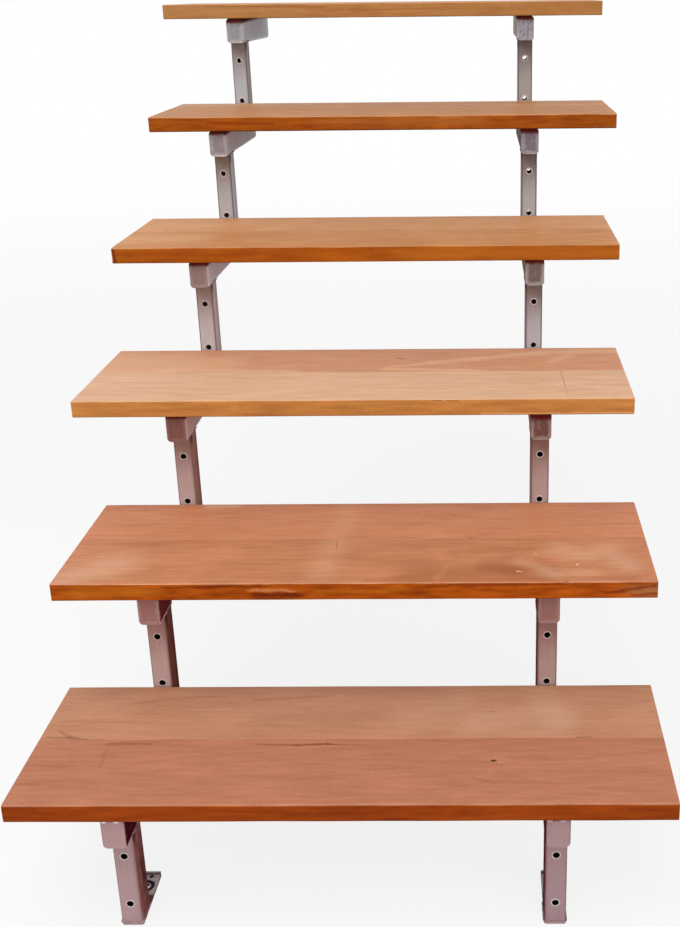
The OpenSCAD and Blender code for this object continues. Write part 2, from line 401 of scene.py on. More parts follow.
def timber_material(name, board, origin, step, row):
    """Oiled hardwood: clouds, streaks, fibres and pores, a top paler with a painted sheen and faces darker
    with painted shade, a worn front arris with a painted highlight, painted shade underneath and the board's own
    marks.
    """
    material, graph = new_material(name)
    place = graph.millimetres(origin)
    normal = graph.normal()
    seed = 10.0 * step + 5.0 * ROWS.index(row)

    late = growth_rings(graph, place, board, seed)
    streak = graph.noise(place, (70, 8, 8), 3.0, 0.55, seed + 2.9)
    fibre = graph.noise(place, (13, 1.7, 1.7), 3.0, 0.6, seed + 8.1)
    pebble = graph.noise(place, (3.6, 2.0, 2.0), 2.0, 0.6, seed + 9.4)
    pore = graph.fit(graph.noise(place, (7, 1.1, 1.1), 1.0, 0.5, seed + 6.6), 0.68, 0.78)
    tone = graph.total(
        0.5,
        graph.sway(place, (110, 45, 45), 1.15 * board.cloud, 3.0, seed + 4.4),
        graph.math("MULTIPLY_ADD", streak, board.streak, -0.5 * board.streak),
        graph.math("MULTIPLY_ADD", late, -0.42 * board.figure, 0.1 * board.figure))
    grain = graph.total(graph.math("MULTIPLY_ADD", fibre, 0.5, -0.25),
                        graph.math("MULTIPLY_ADD", pebble, 0.7, -0.35))
    swirl = graph.sway(place, (48, 30, 7), board.swirl, 4.0, seed + 3.8)
    face_tone = graph.math("ADD", graph.math("MULTIPLY_ADD", grain, 0.5, tone), swirl, clamp=True)
    top_tone = graph.math("ADD", tone, grain, clamp=True)

    # The top and the faces have their own tones: a painted sheen on the top, painted shade on the faces
    facing_up = graph.fit(normal[2], 0.35, 0.9)
    base = graph.mix(facing_up, tinted(graph, board.edge, face_tone, 0.6, 1.4),
                     tinted(graph, board.top, top_tone, 0.8, 1.2))
    base = graph.mix(graph.times(pore, 0.28), base, colour("74401F"))
    fine = graph.sway(place, (20, 6, 6), 1.6, 3.0, seed)
    coarse = graph.sway(place, (60, 20, 20), 1.6, 4.0, seed)
    for plane, marks in (("top", board.top_marks), ("front", board.front_marks)):
        for mark in marks:
            wobble = coarse if mark.widths[0] > BROAD_MARK else fine
            base = graph.mix(mark_mask(graph, place, normal, plane, mark, wobble), base, colour(mark.tone))
    # Pale front edge, worn and with a painted highlight, end grain, and painted shade on the underside
    if row == "front":
        front_arris = graph.times(normal[1], graph.times(normal[2], -2.0))
        worn = graph.times(graph.fit(front_arris, 0.45, 0.9), graph.fit(streak, 0.35, 0.65, 0.3, 1.0))
        worn = graph.times(worn, ARRIS_WEAR_AND_HIGHLIGHT.get(step, PLAIN_ARRIS_WEAR_AND_HIGHLIGHT))
        base = graph.mix(worn, base, colour(DUST))
    end_face = graph.fit(graph.absolute(normal[0]), 0.5, 0.9)
    end_grain = graph.mix(late, colour("9A6038"), colour("5C3014"))
    base = graph.mix(graph.times(end_face, 0.65), base, end_grain)
    # Painted shade on the underside and its rounded under edge
    underside = graph.fit(normal[2], -0.2, -0.75, 0.0, 0.72)
    base = graph.mix(underside, base, colour("3C1608"))

    relief = graph.total(graph.times(fibre, 0.8), graph.times(pebble, 0.5),
                         graph.times(pore, -0.7), graph.times(late, -0.3 * board.figure))
    graph.surface(Base_Color=base, Roughness=graph.fit(streak, 0.3, 0.7, 0.6, 0.46), IOR=1.45,
                  Specular_IOR_Level=graph.fit(normal[2], 0.3, 0.8, 0.08, 0.25),
                  Normal=graph.bump(relief, 0.25 * MM, 0.6))
    return material


# -------- steel

# sRGB tones of one module: post front, stain below its arm, post side, arm front and arm side. These tones
# hold painted light and shade: painted shade with the stain below the arm, on the arm fronts under the
# tread and on the sides of the lower modules. Then how far down the arm the painted shadow of its tread
# reaches, in millimetres, how pale the arm's front edges have worn, with a painted highlight, from 0 to 1,
# and how bright the painted highlights on its lower front, upper front and lower long edges are.
Module = namedtuple("Module", "front stain side arm arm_side grime wear glint crest rail")

MODULES = {
    ("left", 1): Module("B49496", "B08C8B", "8C504C", "B38E8F", "48101A", 1, 0.25, 0.1, 0.8, 0.25),
    ("left", 2): Module("C5ACA8", "A7746E", "7A443C", "A06C68", "6E2A2C", 2, 0.25, 0.1, 0.0, 0.9),
    ("left", 3): Module("C1A9A9", "966B5F", "A87A70", "7B4C40", "DAB6B0", 8, 0.1, 0.1, 0.0, 0.35),
    ("left", 4): Module("C3BAC0", "967A6E", "D4C6CA", "8C7067", "E2D6DC", 9, 0.15, 0.2, 0.0, 0.1),
    ("left", 5): Module("B3B1B6", "836E61", "CED2D8", "8B8081", "CEC8CC", 8, 0.45, 1.6, 0.0, 0.1),
    ("left", 6): Module("B4B7BD", "887975", "BEBAC0", "959398", "E2E6F2", 10, 0.5, 1.2, 0.0, 0.1),
    ("right", 1): Module("A5868C", "A88486", "6A2624", "A88586", "6A2624", 4, 0.2, 0.15, 0.4, 0.0),
    ("right", 2): Module("B99C96", "966860", "7A423C", "966860", "8A5048", 4, 0.25, 0.3, 0.0, 0.0),
    ("right", 3): Module("B9A09F", "88584D", "AC8880", "6B4138", "B48E86", 14, 0.4, 0.3, 0.0, 0.0),
    ("right", 4): Module("B7B4BA", "7A6259", "B4AAA8", "705A51", "B09C96", 9, 0.45, 0.4, 0.0, 0.0),
    ("right", 5): Module("ABAAB0", "6D5A52", "C8C2C2", "736870", "AC9C9E", 10, 0.45, 0.6, 0.0, 0.0),
    ("right", 6): Module("A39B99", "6F6061", "DEDAD8", "97949C", "EEECF2", 9, 0.6, 0.5, 0.0, 0.0),
}
# sRGB tones that the modules share
# Painted shadow of a tread on the top of its arm
TREAD_SHADOW = "641A16"
# Painted highlight on the arms' edges, bluish white
GLINT = "F4F8FF"
# Darker patches on the posts' sides, with painted shade where the arm meets the post
DARK_PATCH = "2E1210"
SPECK = "5A4642"
# Painted shade in the posts' holes
HOLE_SHADE = "0C0404"
# Painted shade on a post's front near its inner corner
SHADE_NEAR_CORNER = "6A4A48"
# Painted shade on the posts' rounded upright corners
CORNER_SHADE_TONE = "3A2220"
# Painted shade in the folds of a dented cap
FOLD_SHADE = "4A4042"
# Painted shade on the arms' undersides
UNDERSIDE_SHADE = "4A3C38"
# How dark the painted shade on the posts' upright corners is, from the bottom module up
CORNER_SHADE = (0.15, 0.3, 0.35, 0.6, 0.65, 0.6)
# How much of the front's tone shows in patches on the posts' sides, from the bottom module up.
# On the dark lower sides these patches are painted reflections.
SIDE_BLOTCH = (0.3, 0.08, 0.2, 0.25, 0.25, 0.25)
# The same for the arms' sides
ARM_BLOTCH = (0.06, 0.05, 0.3, 0.3, 0.3, 0.3)
# Height of a dark patch low on a post's side, in millimetres
LOW_DARK_PATCHES = {("left", 1): 70}


def inner_tone(graph, side, normal, tone, front):
    """tone, which holds painted shade, on the side that faces the middle of the flight. The outer side is half way
    to the front's tone.
    """
    inward = graph.times(normal[0], 1.0 if side == "left" else -1.0)
    outer = graph.mix(0.5, colour(tone), colour(front))
    return graph.mix(graph.fit(inward, -0.4, 0.4), outer, colour(tone))


def steel_finish(graph, place, base, gloss, drawn=(2.2, 2.2, 95), metal_glint=0.0, dents=0.0):
    """Shared ending: mottled grey coating with fine orange peel over base. gloss is its specular level,
    drawn is the cell of the faint lines along the tube, metal_glint is 1 where painted highlights make it
    metallic and dents adds relief."""
    mottle = graph.noise(place, (22, 22, 30), 4.0, 0.6, 2.0)
    streak = graph.noise(place, drawn, 3.0, 0.55, 9.0)
    grit = graph.noise(place, (1.5, 1.5, 1.5), 2.0, 0.6, 4.0)
    level = graph.total(0.78, graph.times(streak, 0.24), graph.times(mottle, 0.16), graph.times(grit, 0.06))
    relief = graph.total(graph.times(grit, 0.5), graph.times(mottle, 2.0), dents)
    graph.surface(Base_Color=graph.shade(base, level), Roughness=graph.fit(mottle, 0.3, 0.7, 0.4, 0.58),
                  Metallic=metal_glint, Specular_IOR_Level=gloss, Normal=graph.bump(relief, 0.3 * MM, 0.5))


def dark_side_patches(graph, side, step, y, z, ragged, patches):
    """1 where a post's sides are darker: in patches below the arm, in the crevice beside the front weld as painted
    shade, and in a low patch.
    """
    below_arm = graph.times(graph.fit(graph.total(z, ragged), 122, 150), graph.fit(patches, 0.52, 0.44))
    beside_weld = graph.times(graph.fit(z, 134, 144), graph.fit(y, -7, -13))
    dark_side_mask = graph.larger(below_arm, beside_weld)
    if (side, step) in LOW_DARK_PATCHES:
        from_middle = graph.absolute(graph.total(z, ragged, -LOW_DARK_PATCHES[side, step]))
        low_patch = graph.times(graph.fit(from_middle, 44, 20), graph.fit(graph.total(y, ragged), -8, 4))
        dark_side_mask = graph.larger(dark_side_mask, graph.times(low_patch, graph.fit(patches, 0.4, 0.55)))
    return dark_side_mask


def post_material(side, step, origin):
    """Coated tube, with stain and painted shade below its arm, painted light and shade on its sides, and painted
    shade at its corners and in its holes.
    """
    look = MODULES[side, step]
    material, graph = new_material(f"{side}_post_{step}_coat")
    place = graph.millimetres(origin)
    x, y, z = graph.xyz(place)
    normal = graph.normal()

    ragged = graph.sway(place, (9, 9, 40), 26.0, 4.0, 3.1)
    # Painted shade and stain darken the front towards the arm
    stained_and_shaded = graph.fit(graph.total(z, ragged), 50, 1000 * POST_HEIGHT + 14)
    front = graph.mix(stained_and_shaded, colour(look.front), colour(look.stain))
    sideways = graph.fit(graph.absolute(normal[0]), 0.5, 0.95)
    patches = graph.noise(place, (9, 11, 26), 4.0, 0.65, 5.0)
    blotch = graph.fit(patches, 0.45, 0.66, 0.0, SIDE_BLOTCH[step - 1])
    side_tone = graph.mix(blotch, inner_tone(graph, side, normal, look.side, look.front), colour(look.front))
    dark_side_mask = dark_side_patches(graph, side, step, y, z, ragged, patches)
    side_tone = graph.mix(graph.times(dark_side_mask, 0.75), side_tone, colour(DARK_PATCH))
    # Painted light: the sides are lighter towards the front and darker towards the back
    side_tone = graph.shade(side_tone, graph.fit(y, -14, 12, 1.12, 0.86))
    # Painted shade on the front near the inner corner
    inward = graph.times(x, 1.0 if side == "left" else -1.0)
    shade_near_corner = graph.fit(inward, 8.5, 15.0, 0.0, 0.3)
    front = graph.mix(shade_near_corner, front, colour(SHADE_NEAR_CORNER))
    base = graph.mix(sideways, front, side_tone)

    # Painted shade on the rounded upright corners
    corner = graph.absolute(graph.times(normal[0], graph.times(normal[1], 2.0)))
    base = graph.mix(graph.fit(corner, 0.35, 0.9, 0.0, CORNER_SHADE[step - 1]), base, colour(CORNER_SHADE_TONE))
    speck = graph.fit(graph.noise(place, (3.0, 3.0, 4.5), 2.0, 0.6, 7.0 + step), 0.68, 0.75, 0.0, 0.6)
    base = graph.mix(speck, base, colour(SPECK))
    # Painted shade in the holes and just round them
    for height in HOLE_HEIGHTS:
        from_axis = graph.distance(x, graph.math("SUBTRACT", z, 1000 * height))
        hole_shade = graph.fit(from_axis, 4.9, 5.2, 1.0, 0.0)
        base = graph.mix(hole_shade, base, colour(HOLE_SHADE))
    steel_finish(graph, place, base, graph.math("MULTIPLY_ADD", sideways, -0.35, 0.35))
    return material


def cap_tone(graph, place, look, step):
    """Tone of an arm's front end: paler round the cap's rim and in scratches, which on a dented cap also stand for
    painted highlights on its crinkles, with painted shade in the folds of a dented cap.
    """
    x, _, z = graph.xyz(place)
    half_height = 500 * ARM_HEIGHT
    from_middle = graph.absolute(graph.total(z, half_height))
    past_cap = graph.larger(graph.total(graph.absolute(x), -11.0), graph.total(from_middle, 6.5 - half_height))
    past_cap = graph.total(past_cap, graph.sway(place, (9, 9, 14), 11.0, 4.0, 1.3 * step))
    tone = graph.mix(graph.fit(past_cap, -2.5, 3.0, 0.0, look.wear), colour(look.arm), colour(look.front))
    # Pale scratches, also painted highlights on a dented cap's crinkles
    scratch_and_glint = graph.fit(graph.noise(place, (6, 6, 11), 4.0, 0.7, 2.1 * step), 0.5, 0.72, 0.0, 0.7 * look.wear)
    tone = graph.mix(scratch_and_glint, tone, colour(look.front))
    # Painted shade in the folds of a dented cap
    darkest = 2.4 * max(look.wear - 0.4, 0.0)
    fold_shade = graph.fit(graph.noise(place, (5, 5, 9), 2.0, 0.6, 8.1 * step), 0.5, 0.58, 0.0, darkest)
    return graph.mix(fold_shade, tone, colour(FOLD_SHADE))


def worn_and_highlit_edges(graph, normal, broken, look):
    """1 along the edges round an arm's ends where the coating has worn, the pale edges standing also for painted
    highlights.
    """
    facing_front = graph.absolute(normal[1])
    side_edge = graph.times(facing_front, graph.absolute(normal[0]))
    level_edge = graph.times(facing_front, graph.absolute(normal[2]))
    edge = graph.fit(graph.larger(side_edge, level_edge), 0.2, 0.45)
    return graph.times(edge, graph.times(broken, look.wear))


def edge_glints(graph, place, normal, sideways, look, step):
    """Painted highlights: along an arm's upper front and lower long edges, which also make it metallic, and on its
    lower front edge.
    """
    z = graph.xyz(place)[2]
    height = 1000 * ARM_HEIGHT
    rubbed_glint = graph.fit(graph.times(normal[1], normal[2]), 0.15, 0.42, 0.0, look.glint)
    rubbed_glint = graph.times(rubbed_glint, graph.fit(z, 8 - height, 11 - height, 1.0, 0.0))
    upper = graph.times(graph.fit(z, -6.4, -4.2, 0.0, look.crest), graph.fit(sideways, 0.0, 0.6, 1.0, 0.0))
    split = graph.fit(graph.noise(place, (9, 13, 13), 1.0, 0.5, 4.7 * step), 0.42, 0.6)
    long_edge = graph.times(graph.absolute(normal[0]), graph.times(normal[2], -1.0))
    long_edge = graph.fit(long_edge, 0.1, 0.4, 0.0, look.rail)
    return graph.larger(graph.times(upper, split), long_edge), rubbed_glint


def arm_material(side, step, origin):
    """Coated arm: painted shadow of the tread along its top, worn edges round its front end, painted highlights on
    its edges and painted shade underneath.
    """
    look = MODULES[side, step]
    material, graph = new_material(f"{side}_arm_{step}_coat")
    place = graph.millimetres(origin)
    _, y, z = graph.xyz(place)
    normal = graph.normal()

    sideways = graph.fit(graph.absolute(normal[0]), 0.5, 0.9)
    patches = graph.noise(place, (11, 26, 9), 4.0, 0.65, 5.0 + step)
    blotch = graph.fit(patches, 0.45, 0.68, 0.0, ARM_BLOTCH[step - 1])
    side_tone = graph.mix(blotch, inner_tone(graph, side, normal, look.arm_side, look.front), colour(look.front))
    base = graph.mix(sideways, cap_tone(graph, place, look, step), side_tone)
    broken = graph.fit(graph.noise(place, (6, 6, 9), 3.0, 0.6, 3.3 * step), 0.42, 0.58)
    # Worn edges round the front end, paler also as a painted highlight
    base = graph.mix(worn_and_highlit_edges(graph, normal, broken, look), base, colour(look.front))

    # Painted shadow of the tread runs down the arm with a ragged edge and reaches less far towards the back
    grime = graph.total(graph.times(z, -1.0), graph.sway(place, (8, 8, 8), 6.0, 4.0, 2.2), graph.times(y, 0.03))
    grime = graph.fit(graph.math("DIVIDE", grime, look.grime), 0.6, 1.25, 0.96, 0.0)
    base = graph.mix(grime, base, colour(TREAD_SHADOW))
    # Painted shade on the undersides
    underside = graph.fit(normal[2], -0.35, -0.9, 0.0, 0.6)
    base = graph.mix(underside, base, colour(UNDERSIDE_SHADE))

    # Painted highlights on the edges, partly metallic
    metal_glint, rubbed_glint = edge_glints(graph, place, normal, sideways, look, step)
    rubbed_glint = graph.times(rubbed_glint, graph.math("MULTIPLY_ADD", broken, 0.5, 0.5))
    base = graph.mix(graph.larger(metal_glint, rubbed_glint), base, colour(GLINT))
    gloss = graph.math("MULTIPLY_ADD", graph.larger(sideways, grime), -0.35, 0.35)
    depth = 24.0 * look.wear ** 2
    dents = graph.times(graph.noise(place, (10, 10, 8), 3.0, 0.6, 6.6 * step), depth)
    steel_finish(graph, place, base, gloss, drawn=(2.2, 95, 2.2), metal_glint=graph.times(metal_glint, 0.8), dents=dents)
    return material


# Places of the anchor and of a stain on the foot plate, in millimetres from its post's axis
ANCHOR_Y = 53.0
STAIN = (3.0, 73.0)


def foot_material(side, origin):
    """Coated plate, mottled on top, with painted shade on its upright faces and painted light on its front edge.
    It is darker near the post and has a dark ring left by the washer round its anchor hole and a stain behind that."""
    material, graph = new_material(f"{side}_foot_coat")
    place = graph.millimetres(origin)
    x, y, _ = graph.xyz(place)
    normal = graph.normal()
    mottle = graph.noise(place, (3.5, 3.5, 3.5), 3.0, 0.65, 1.0)
    base = graph.mix(graph.fit(mottle, 0.35, 0.62), colour("CDBBC0"), colour("F4EAEE"))
    # Darker near the post
    dark_near_post = graph.fit(graph.total(y, graph.sway(place, (9, 9, 9), 6.0, 3.0, 2.0)), 40, 32)
    base = graph.mix(graph.times(dark_near_post, 0.9), base, colour("58161E"))
    # Painted shade on the upright faces
    upright = graph.fit(normal[2], 0.9, 0.4, 0.0, 0.85)
    base = graph.mix(upright, base, colour("5A2226"))
    # Painted light on the front edge
    front_edge = graph.times(graph.fit(y, -19, -18, 1.0, 0.0), graph.fit(normal[2], 0.7, 0.4))
    base = graph.mix(front_edge, base, colour("C8B4B4"))
    anchor = graph.distance(x, graph.total(y, -ANCHOR_Y))
    anchor = graph.total(anchor, graph.sway(place, (6, 6, 6), 3.0, 2.0, 4.0))
    ring = graph.times(graph.fit(anchor, 6.6, 7.8), graph.fit(anchor, 12.0, 13.6, 1.0, 0.0))
    from_stain = graph.distance(graph.total(x, -STAIN[0]), graph.total(y, -STAIN[1]))
    stain = graph.fit(from_stain, 2.6, 4.0, 1.0, 0.0)
    base = graph.mix(graph.times(graph.larger(ring, stain), 0.96), base, colour("16020A"))
    steel_finish(graph, place, base, 0.04)
    return material


def weld_material(side, step):
    """Coated weld metal, dark in places beside the post and below the arm: heat tint with painted shade in the
    crevices.
    """
    look = MODULES[side, step]
    material, graph = new_material(f"{side}_post_{step}_weld")
    place = graph.millimetres()
    normal = graph.normal()
    # Dark patches, most where the bead faces sideways: heat tint and painted shade in the crevices
    dark_spots = graph.fit(graph.noise(place, (7, 7, 7), 3.0, 0.6, 3.0 + step), 0.4, 0.56)
    beside = graph.fit(graph.absolute(normal[0]), 0.3, 0.8, 0.25, 0.95)
    coat = graph.mix(0.5, colour(look.front), colour(look.stain))
    base = graph.mix(graph.times(dark_spots, beside), coat, colour("2E1614"))
    graph.surface(Base_Color=base, Roughness=0.5, Specular_IOR_Level=0.3,
                  Normal=graph.bump(dark_spots, 0.4 * MM, 0.6))
    return material


def rim_material():
    """Bare metal round the drilled holes."""
    material, graph = new_material("drilled_rim")
    place = graph.millimetres()
    scuff = graph.noise(place, (1.8, 1.8, 1.8), 2.0, 0.6, 6.0)
    base = graph.mix(graph.fit(scuff, 0.3, 0.7), colour("B4A2A0"), colour("E0D2D0"))
    graph.surface(Base_Color=base, Roughness=0.4, Metallic=0.15, Normal=graph.bump(scuff, 0.1 * MM, 0.5))
    return material


# -------- pieces

def add_piece(name, mesh, material, replaced=()):
    piece = bpy.data.objects.new(name, mesh)
    bpy.context.scene.collection.objects.link(piece)
    mesh.materials.append(material)
    mesh.shade_smooth()
    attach(piece, BODY)
    if replaced:
        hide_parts(*replaced)
    return piece


def mesh_from(name, build):
    """Mesh made by build(bm), with its normals turned outwards."""
    bm = bmesh.new()
    build(bm)
    bmesh.ops.recalc_face_normals(bm, faces=bm.faces)
    mesh = bpy.data.meshes.new(name)
    bm.to_mesh(mesh)
    bm.free()
    return mesh


def loft(bm, rings, closed=False):
    """Skin over rings of places. It is capped at both ends, or closed joins the last ring to the first."""
    rings = [[bm.verts.new(place) for place in ring] for ring in rings]
    pairs = list(zip(rings, rings[1:]))
    if closed:
        pairs.append((rings[-1], rings[0]))
    for low, high in pairs:
        for i in range(len(low)):
            j = (i + 1) % len(low)
            bm.faces.new((low[i], low[j], high[j], high[i]))
    if not closed:
        bm.faces.new(rings[0])
        bm.faces.new(rings[-1])


def rounded_outline(low, high, radii, side_cuts, corner_cuts=5):
    """Points round a rectangle with round corners, anticlockwise from its lower left corner.
    radii start at that corner, and side_cuts at the bottom side."""
    (u0, v0), (u1, v1) = low, high
    signs = ((1, 1), (-1, 1), (-1, -1), (1, -1))
    corners = ((u0, v0), (u1, v0), (u1, v1), (u0, v1))
    arcs = []
    for index, ((u, v), (su, sv), radius) in enumerate(zip(corners, signs, radii)):
        angles = [math.radians(180 + 90 * (index + k / corner_cuts)) for k in range(corner_cuts + 1)]
        arcs.append([(u + radius * (su + math.cos(a)), v + radius * (sv + math.sin(a))) for a in angles])
    points = []
    for index, arc in enumerate(arcs):
        points += arc
        start, end = arc[-1], arcs[(index + 1) % 4][0]
        cuts = side_cuts[index]
        points += [(start[0] + (end[0] - start[0]) * k / cuts, start[1] + (end[1] - start[1]) * k / cuts)
                   for k in range(1, cuts)]
    return points


def arris_steps(radius, cuts):
    """(place along, inset) of the sections that round an end over, from the end face inwards."""
    angles = [math.radians(90 * k / cuts) for k in range(cuts)]
    return [(radius * (1 - math.cos(a)), radius * (1 - math.sin(a))) for a in angles]


# Boards

# Size of a board's faces along it and across it
BOARD_STATION = 8 * MM
TOP_CELL = 10 * MM
# Radius at a board's ends, along the glued joint and, by step, along the long edges
END_ARRIS = 0.8 * MM
GLUE_ARRIS = 0.25 * MM
EASE = {1: 3.2 * MM, 5: 3.0 * MM}
PLAIN_EASE = 1.8 * MM
# How much that radius varies along a board, as a share
EASE_SPREAD = 0.35
# How deep a board's top is hollowed and how far its front face wavers
HOLLOW = 0.25 * MM
BOW = 0.3 * MM
# How far a tread's front top edge dips where it is worn, by step, and how far back the wear reaches
EDGE_WEAR = {2: 0.7 * MM, 4: 1.5 * MM, 5: 0.9 * MM}
PLAIN_WEAR = 0.5 * MM
WEAR_REACH = 24 * MM
# Nicks out of a front top edge: place along the tread and radius
NICKS = {2: ((0.767, 3.0 * MM), (0.773, 1.8 * MM)), 3: ((0.606, 3.5 * MM),)}


def board_stations(length, nicks):
    """Places along a board between its rounded ends: even steps, and closer ones at nicks."""
    count = round(length / BOARD_STATION)
    places = {END_ARRIS + (length - 2 * END_ARRIS) * k / count for k in range(count + 1)}
    for place, radius in nicks:
        places |= {place + radius * k / 3 for k in range(-5, 6)}
    return sorted(places)


def board_mesh(name, step, row):
    """One board with eased and slightly worn long edges, small arrises at its ends and a gentle unevenness."""
    low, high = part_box(name)
    seed = Vector((7.3 * step, 3.1 if row == "front" else 11.7, 0.0))
    nicks = NICKS.get(step, ()) if row == "front" else ()
    wear = EDGE_WEAR.get(step, PLAIN_WEAR) if row == "front" else 0.0
    width_cuts = round((high.y - low.y) / TOP_CELL)

    def waver(x, y, z):
        """Noise from 0 to 1, this board's own."""
        return 0.5 + 0.5 * noise.noise(seed + Vector((x, y, z)))

    def section(x, inset):
        ease = EASE.get(step, PLAIN_EASE) * (1.0 + EASE_SPREAD * noise.noise(seed + Vector((x * 9, 0, 5))))
        front_radius, back_radius = (ease, GLUE_ARRIS) if row == "front" else (GLUE_ARRIS, ease)
        points = rounded_outline((low.y + inset, low.z + inset), (high.y - inset, high.z - inset),
                                 (front_radius, back_radius, back_radius, front_radius),
                                 (width_cuts, 4, width_cuts, 4))
        worn = wear * waver(x * 13, 3, 0)
        ring = []
        for y, z in points:
            height = (z - low.z) / (high.z - low.z)
            hollow = HOLLOW * waver(x * 7, y * 22, 1)
            drop = hollow + worn * max(0.0, 1.0 - (y - low.y) / WEAR_REACH) ** 2
            for place, radius in nicks:
                drop += 0.5 * radius * math.exp(-((x - place) ** 2 + (y - low.y) ** 2) / radius ** 2)
            z -= drop * max(0.0, height) ** 3
            if row == "front":
                bow = BOW * waver(x * 8, 9, z * 60)
                y += bow * max(0.0, 1.0 - (y - low.y) / WEAR_REACH)
            ring.append((low.x + x, y, z))
        return ring

    def build(bm):
        length = high.x - low.x
        ends = arris_steps(END_ARRIS, 3)
        rings = [section(along, inset) for along, inset in ends]
        rings += [section(x, 0.0) for x in board_stations(length, nicks)]
        rings += [section(length - along, inset) for along, inset in reversed(ends)]
        loft(bm, rings)

    return mesh_from(name, build)


def make_boards():
    """Finished boards in place of the plain CAD ones."""
    for step in STEPS:
        front_low, front_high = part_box(f"tread_{step}_front_board")
        origin = (front_low.x, front_low.y, front_high.z)
        for row in ROWS:
            name = f"tread_{step}_{row}_board"
            material = timber_material(f"timber_{step}_{row}", BOARDS[step, row], origin, step, row)
            add_piece(f"{name}_finished", board_mesh(name, step, row), material, (name,))


# Arms

# How far in from the arm's sides its cap starts, how deep it is let in and how wide its step is
CAP_INSET = 6.0 * MM
CAP_RECESS = 0.4 * MM
CAP_STEP = 0.6 * MM
ARM_SECTIONS = 12


def arm_outline(low, high, inset):
    """An arm's section, inset on all sides."""
    radius = max(ARM_CORNER - inset, 1.2 * MM)
    return rounded_outline((low.x + inset, low.z + inset), (high.x - inset, high.z - inset), (radius,) * 4,
                           (6, 9, 6, 9), 6)


def arm_mesh(name):
    """Closed tube with rounded ends. Its front end has a cap let in a little."""
    low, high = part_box(name)
    length = high.y - low.y

    def section(y, inset):
        return [(x, low.y + y, z) for x, z in arm_outline(low, high, inset)]

    def build(bm):
        ends = arris_steps(ARM_END_CORNER, 5)
        # The innermost ring keeps the cap's shading flat
        rings = [section(CAP_RECESS, CAP_INSET + 2.5 * CAP_STEP), section(CAP_RECESS, CAP_INSET + CAP_STEP),
                 section(0.0, CAP_INSET)]
        rings += [section(along, inset) for along, inset in ends]
        straight = length - 2 * ARM_END_CORNER
        rings += [section(ARM_END_CORNER + straight * k / ARM_SECTIONS, 0.0) for k in range(ARM_SECTIONS + 1)]
        rings += [section(length - along, inset) for along, inset in reversed(ends)]
        loft(bm, rings)

    return mesh_from(name, build)


def make_arms():
    """Finished arms in place of the plain CAD ones."""
    for side, step in MODULES:
        name = f"{side}_arm_{step}"
        low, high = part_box(name)
        top_front = ((low.x + high.x) / 2, low.y, high.z)
        material = arm_material(side, step, top_front)
        add_piece(f"{name}_finished", arm_mesh(name), material, (name,))


# Welds and hole rims

# Radius of the beads at a post's foot and top, and the spacing of their ripples
FOOT_BEAD = 1.7 * MM
TOP_BEAD = 1.05 * FOOT_BEAD
WELD_RIPPLE = 2.4 * MM


def add_bead(bm, path, radius, seed, sides=8):
    """Rippled weld bead along a closed path that runs about level."""
    count = len(path)
    rings = []
    travelled = 0.0
    for i, point in enumerate(path):
        ahead = path[(i + 1) % count]
        tangent = (ahead - path[i - 1]).normalized()
        outward = tangent.cross(Vector((0, 0, 1))).normalized()
        up = outward.cross(tangent).normalized()
        ripple = 0.12 * math.sin(2 * math.pi * travelled / WELD_RIPPLE)
        swell = 0.22 * noise.noise(Vector((travelled * 140, seed, 0)))
        size = radius * (1 + ripple + swell)
        angles = (2 * math.pi * k / sides for k in range(sides))
        rings.append([point + size * (math.cos(a) * outward + math.sin(a) * up) for a in angles])
        travelled += (ahead - point).length
    loft(bm, rings, closed=True)


def underside(x):
    """How far an arm's rounded underside lies above its lowest line, at x from the arm's axis."""
    flat = ARM_WIDTH / 2 - ARM_CORNER
    beyond = min(max(abs(x) - flat, 0.0), ARM_CORNER)
    return ARM_CORNER - math.sqrt(ARM_CORNER ** 2 - beyond ** 2)


def make_welds():
    """Beads round each post's top, below its arm, and round its foot, on the plate or the arm below."""
    for side, step in MODULES:
        low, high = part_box(f"{side}_post_{step}")
        axis_x = (low.x + high.x) / 2
        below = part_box(f"{side}_arm_{step - 1}") if step > 1 else None
        below_x = (below[0].x + below[1].x) / 2 if below else 0.0
        outline = rounded_outline((low.x, low.y), (high.x, high.y), (POST_CORNER,) * 4, (28, 40, 28, 40), 8)
        foot, top = seat(step), seat(step) + POST_HEIGHT
        top_path = [Vector((x, y, top + underside(x - axis_x))) for x, y in outline]
        foot_path = [Vector((x, y, foot - (underside(x - below_x) if below else 0.0))) for x, y in outline]

        def build(bm):
            add_bead(bm, top_path, TOP_BEAD, step)
            add_bead(bm, foot_path, FOOT_BEAD, step + 20)

        name = f"{side}_post_{step}_welds"
        add_piece(name, mesh_from(name, build), weld_material(side, step))


# A rim's distance from its hole's edge, and its width, height and depth into the post's wall
RIM_GAP = 0.4 * MM
RIM_WIDTH = 2.3 * MM
RIM_HEIGHT = 0.35 * MM
RIM_DEPTH = 0.4 * MM
RIM_SIDES = 36


def add_rim(bm, centre, outward):
    """Raised ring round a hole. centre is on the face, and outward is -1 to the front or 1 to the back."""
    inner, outer = HOLE_RADIUS + RIM_GAP, HOLE_RADIUS + RIM_WIDTH
    profile = [(inner, -1.5 * RIM_DEPTH), (inner, 0.5 * RIM_HEIGHT), (inner + 0.25 * RIM_WIDTH, RIM_HEIGHT),
               (inner + 0.7 * RIM_WIDTH, 0.8 * RIM_HEIGHT), (outer, 0.0), (outer, -RIM_DEPTH)]
    rings = []
    for radius, height in profile:
        angles = (2 * math.pi * k / RIM_SIDES for k in range(RIM_SIDES))
        rings.append([centre + Vector((radius * math.cos(a), outward * height, radius * math.sin(a)))
                      for a in angles])
    loft(bm, rings, closed=True)


